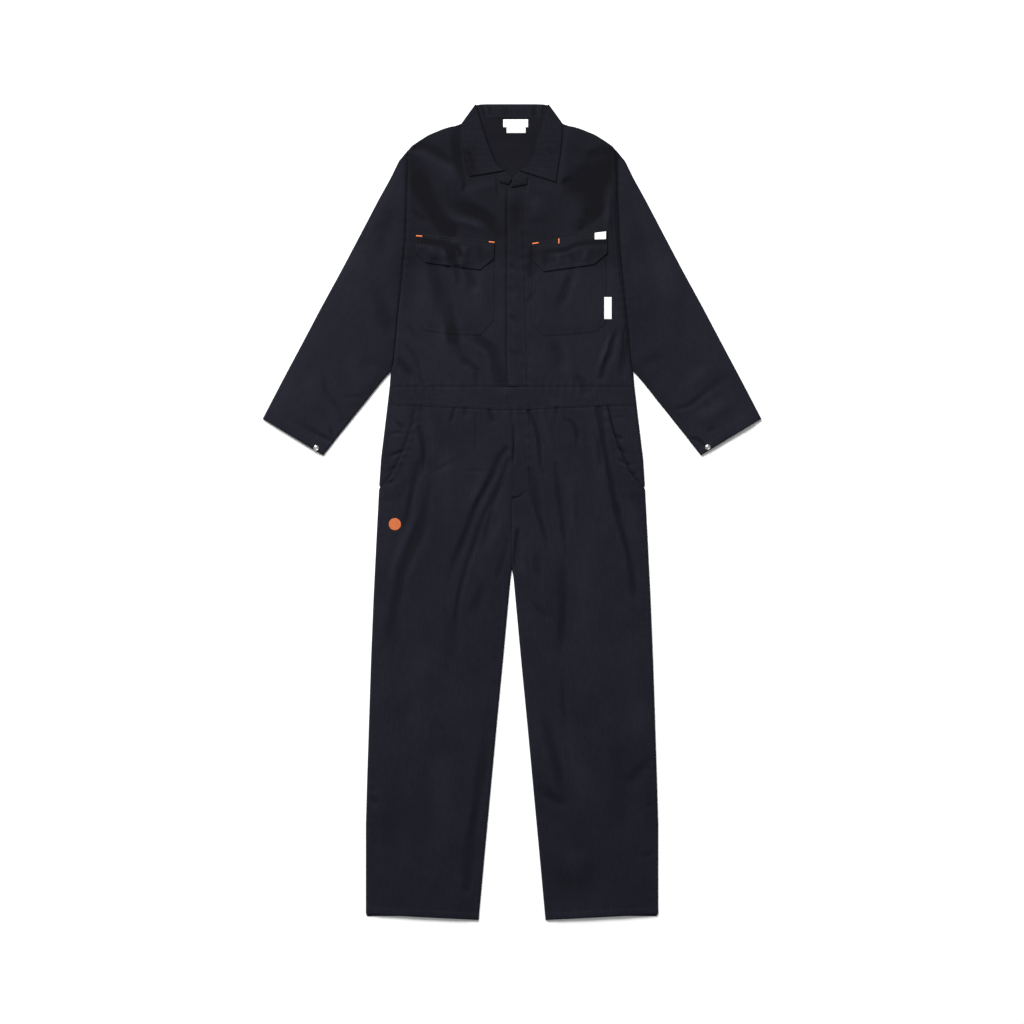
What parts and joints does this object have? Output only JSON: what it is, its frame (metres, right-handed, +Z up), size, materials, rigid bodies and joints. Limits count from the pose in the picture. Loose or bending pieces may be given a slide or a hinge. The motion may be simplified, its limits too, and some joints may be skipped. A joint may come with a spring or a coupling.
{
  "type": "boiler suit laid flat",
  "caption": "Long-sleeved boiler suit laid flat, face up, with folded collar, covered front closing, flap chest pockets, waistband, slanted hip pockets and straight legs.",
  "frame": {"origin": "middle of the laid garment's length and width, on the surface that it lies on", "axes": "+Y from the hems towards the collar, +Z up away from the surface, +X towards the wearer's left sleeve"},
  "size_m": [1.022, 1.672, 0.008],
  "materials": {
    "navy_twill": "dark navy cotton-rich twill with a faint soft sheen",
    "orange_thread": "satin-stitched orange polyester thread of the bar tacks and the round thigh patch",
    "woven_label": "plain white woven ribbon, left bare",
    "snap_metal": "nickel-plated pressed snap cap"
  },
  "bodies": {
    "root": {"back_bodice": "navy_twill", "front_bodice_right": "navy_twill", "front_bodice_left": "navy_twill", "placket_upper": "navy_twill", "placket_lower": "navy_twill", "collar": "navy_twill", "lapel_right": "navy_twill", "lapel_left": "navy_twill", "sleeve_right": "navy_twill", "sleeve_left": "navy_twill", "waistband_back": "navy_twill", "waistband_front_right": "navy_twill", "waistband_front_left": "navy_twill", "trouser_back_right": "navy_twill", "trouser_back_left": "navy_twill", "trouser_front_right": "navy_twill", "trouser_front_left": "navy_twill", "hip_pocket_facing_right": "navy_twill", "hip_pocket_facing_left": "navy_twill", "chest_pocket_right": "navy_twill", "chest_pocket_left": "navy_twill", "pocket_flap_right": "navy_twill", "pocket_flap_left": "navy_twill", "neck_label": "woven_label", "size_label": "woven_label", "flap_label": "woven_label", "side_label": "woven_label", "cuff_snap_right": "snap_metal", "cuff_snap_left": "snap_metal"}
  },
  "joints": []
}
